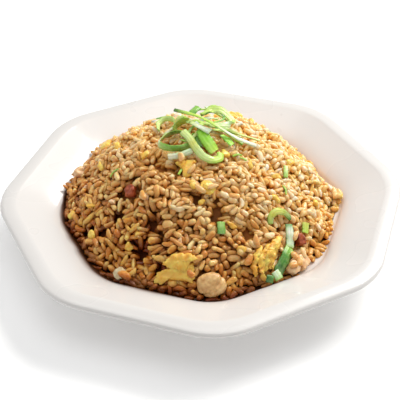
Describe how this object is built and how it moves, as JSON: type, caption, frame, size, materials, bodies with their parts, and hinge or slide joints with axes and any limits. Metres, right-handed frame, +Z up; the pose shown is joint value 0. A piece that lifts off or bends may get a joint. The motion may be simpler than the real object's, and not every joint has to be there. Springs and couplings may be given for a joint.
{
  "type": "fried rice plate",
  "caption": "Octagonal white porcelain dish holding a domed mound of fried rice with egg, diced meat and leek, topped with a tangle of spring onion shreds.",
  "frame": {"origin": "middle of the dish, on the plane its foot ring stands on", "axes": "+Z up; +X and +Y each point at a rounded corner of the octagonal dish, and the side with the round slice and the big egg fold faces -Y"},
  "size_m": [0.2132, 0.2132, 0.0678],
  "materials": {
    "porcelain": "gloss",
    "rice": "satin",
    "egg": "satin",
    "leek_green": "satin",
    "leek_white": "satin",
    "spring_onion": "satin",
    "scallop": "satin",
    "pork": "satin",
    "pork_red": "satin"
  },
  "bodies": {
    "root": {"dish": "porcelain", "rice": "rice", "egg_fold_front": "egg", "egg_fold_top": "egg", "egg_fold_middle": "egg", "egg_fold_back": "egg", "egg_fold_left": "egg", "egg_shred_high": "egg", "egg_shred_hook": "egg", "egg_shred_low": "egg", "onion_ring_arch": "leek_green", "leek_white": "leek_white", "leek_leaf": "leek_green", "leek_tip": "leek_white", "leek_tip_dark": "leek_green", "onion_bit_front": "leek_green", "onion_bit_right": "leek_green", "onion_bit_low": "leek_green", "leek_leaf_back": "leek_green", "onion_bit_back": "leek_green", "scallop_slice": "scallop", "pork_dice_right": "pork", "pork_dice_low": "pork", "pork_red_left": "pork_red", "pork_red_right": "pork_red", "onion_dice_left": "leek_white", "pork_dice_back": "pork", "pork_dice_left": "pork", "shred_ring_left": "spring_onion", "shred_ring_far": "spring_onion", "shred_white_low": "spring_onion", "shred_broad": "spring_onion", "shred_broad_right": "spring_onion", "shred_dark_short": "spring_onion", "shred_hook": "spring_onion", "shred_arch": "spring_onion", "shred_pale_left": "spring_onion", "shred_loop_big": "spring_onion", "shred_right": "spring_onion", "shred_dark_top": "spring_onion", "shred_pale_back": "spring_onion", "shred_pale_middle": "spring_onion", "shred_long": "spring_onion"}
  },
  "joints": []
}
